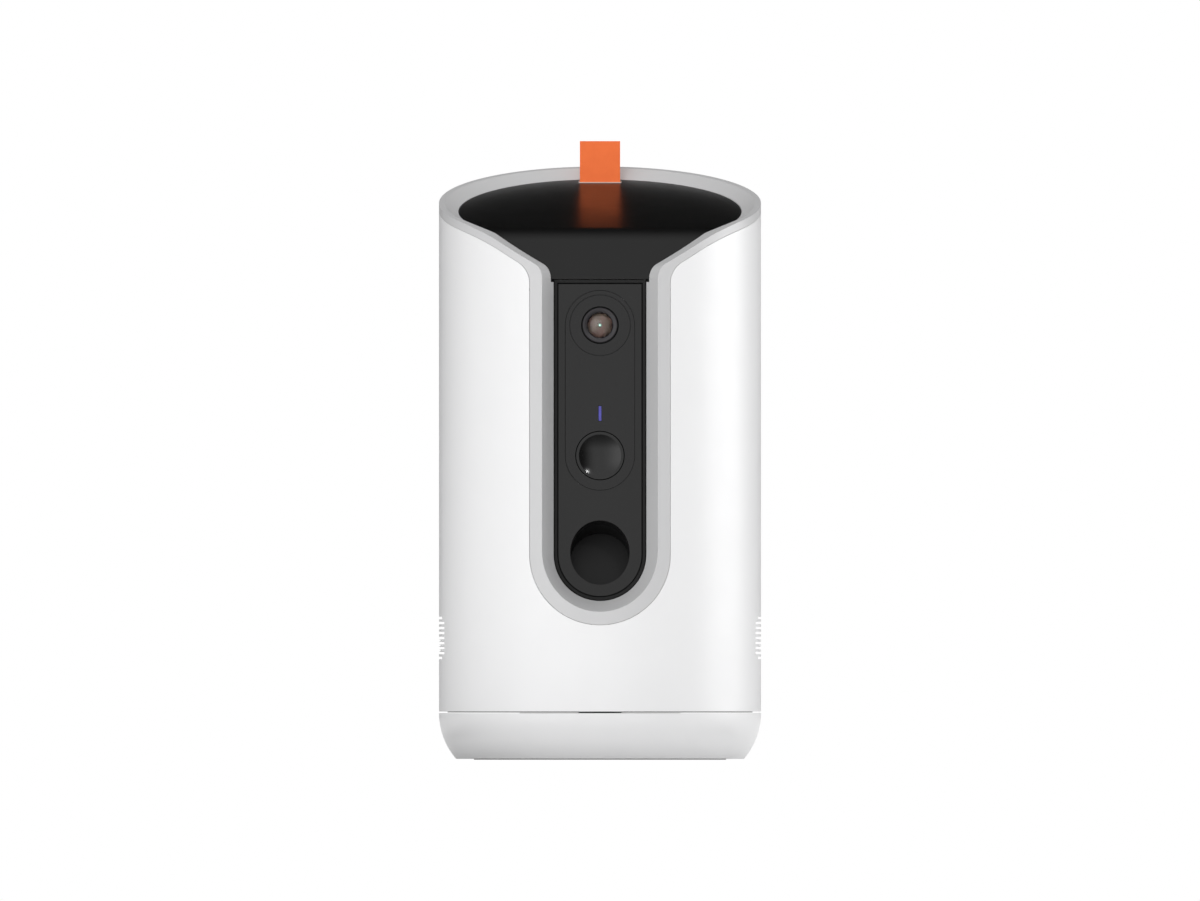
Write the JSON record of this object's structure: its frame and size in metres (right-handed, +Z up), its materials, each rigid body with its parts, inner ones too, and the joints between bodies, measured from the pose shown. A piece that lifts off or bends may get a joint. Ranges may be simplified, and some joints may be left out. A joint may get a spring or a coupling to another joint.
{
  "type": "treat tossing pet camera",
  "caption": "Upright round pet camera with a slanted lid over a treat hopper, a camera, a button and a treat outlet in a front channel, and a base that it turns on.",
  "frame": {"origin": "middle of the face that the base stands on", "axes": "+Z up, the camera and the treat outlet face -Y, +X to the right seen from the front"},
  "size_m": [0.12, 0.12, 0.2305],
  "materials": {
    "white_plastic": "smooth satin white",
    "grey_bezel": "smooth satin light grey",
    "black_gloss": "polished black",
    "smoked_window": "polished smoked black",
    "button_black": "polished black",
    "lens_ring": "dark satin",
    "lens_glass": "coated lens",
    "status_light": "clear light pipe, lit blue",
    "dark_plastic": "moulded",
    "barrel_black": "smooth moulded",
    "hopper_plastic": "smooth moulded grey",
    "rotor_plastic": "smooth moulded",
    "gear_plastic": "natural acetal",
    "steel": "bright",
    "ballast_iron": "plain",
    "motor_steel": "rolled",
    "circuit_board": "solder mask",
    "speaker_black": "paper cone in a pressed frame",
    "foot_rubber": "matt",
    "seal_rubber": "matt silicone",
    "orange_tab": "matt silicone"
  },
  "bodies": {
    "base": {"base_shell": "white_plastic", "base_plate": "dark_plastic", "foot_ring": "foot_rubber", "base_screws": "steel", "ballast_ring": "ballast_iron", "thrust_washer": "gear_plastic", "pan_axle": "steel", "pan_gear": "gear_plastic", "power_socket": "steel", "power_board": "circuit_board"},
    "camera_body": {"turntable": "dark_plastic", "pan_motor": "motor_steel", "support_posts": "dark_plastic", "speaker_housing": "dark_plastic", "speaker": "speaker_black", "outer_shell": "white_plastic", "bezel_frame": "grey_bezel", "front_panel": "black_gloss", "window_plate": "smoked_window", "panel_frame": "black_gloss", "camera_barrel": "lens_ring", "lens_glass": "lens_glass", "camera_mount": "dark_plastic", "camera_board": "circuit_board", "light_pipe": "status_light", "button_board": "circuit_board", "main_board": "circuit_board", "chamber_cover": "black_gloss", "launch_barrel": "barrel_black", "barrel_end_cap": "dark_plastic", "striker_spring": "steel", "wind_motor": "motor_steel", "cheek_left": "dark_plastic", "cheek_right": "dark_plastic", "hopper": "hopper_plastic", "dosing_well": "hopper_plastic", "portion_shield": "hopper_plastic", "dosing_motor": "motor_steel", "feed_chute": "hopper_plastic"},
    "pan_pinion": {"pan_pinion": "gear_plastic"},
    "button": {"button_cap": "button_black"},
    "striker": {"striker": "barrel_black"},
    "winder": {"sector_gear": "gear_plastic", "wind_wheel": "gear_plastic"},
    "wind_pinion": {"wind_pinion": "gear_plastic"},
    "doser": {"dosing_rotor": "rotor_plastic"},
    "lid": {"lid_shell": "black_gloss", "lid_liner": "hopper_plastic", "lid_seal": "seal_rubber", "lid_screws": "steel", "pull_tab": "orange_tab"}
  },
  "joints": [
    {"name": "pan", "type": "hinge", "parent": "base", "child": "camera_body", "pos_m": [0, 0, 0.0176], "axis": [0, 0, 1], "range_deg": [-170, 170]},
    {"name": "pan_pinion_spin", "type": "hinge", "parent": "camera_body", "child": "pan_pinion", "pos_m": [0, 0.017, 0.0252], "axis": [0, 0, 1], "range_deg": [-410, 410]},
    {"name": "button_press", "type": "slide", "parent": "camera_body", "child": "button", "axis": [0, 1, 0], "range_m": [0, 0.0008], "stiffness_N_per_m": 800, "springref_m": -0.0005},
    {"name": "winder_turn", "type": "hinge", "parent": "camera_body", "child": "winder", "pos_m": [0, -0.02588, 0.04049], "axis": [-1, 0, 0], "range_deg": [0, 115]},
    {"name": "striker_slide", "type": "slide", "parent": "camera_body", "child": "striker", "axis": [0, 0.9239, -0.3827], "range_m": [0, 0.02], "stiffness_N_per_m": 200, "springref_m": -0.005, "deforming": ["striker_spring"]},
    {"name": "wind_pinion_spin", "type": "hinge", "parent": "camera_body", "child": "wind_pinion", "pos_m": [0.0085, -0.008, 0.03407], "axis": [1, 0, 0], "range_deg": [0, 322]},
    {"name": "doser_turn", "type": "hinge", "parent": "camera_body", "child": "doser", "pos_m": [0, 0.012, 0.11], "axis": [0, 0, 1], "continuous": true},
    {"name": "lid_lift", "type": "slide", "parent": "camera_body", "child": "lid", "axis": [0, 0, 1], "range_m": [0, 0.06]}
  ],
  "couplings": [
    {"joint": "pan_pinion_spin", "follows": "pan", "ratio": 2.4},
    {"joint": "winder_turn", "follows": "striker_slide", "rad_per_m": 100},
    {"joint": "wind_pinion_spin", "follows": "striker_slide", "rad_per_m": 280}
  ]
}
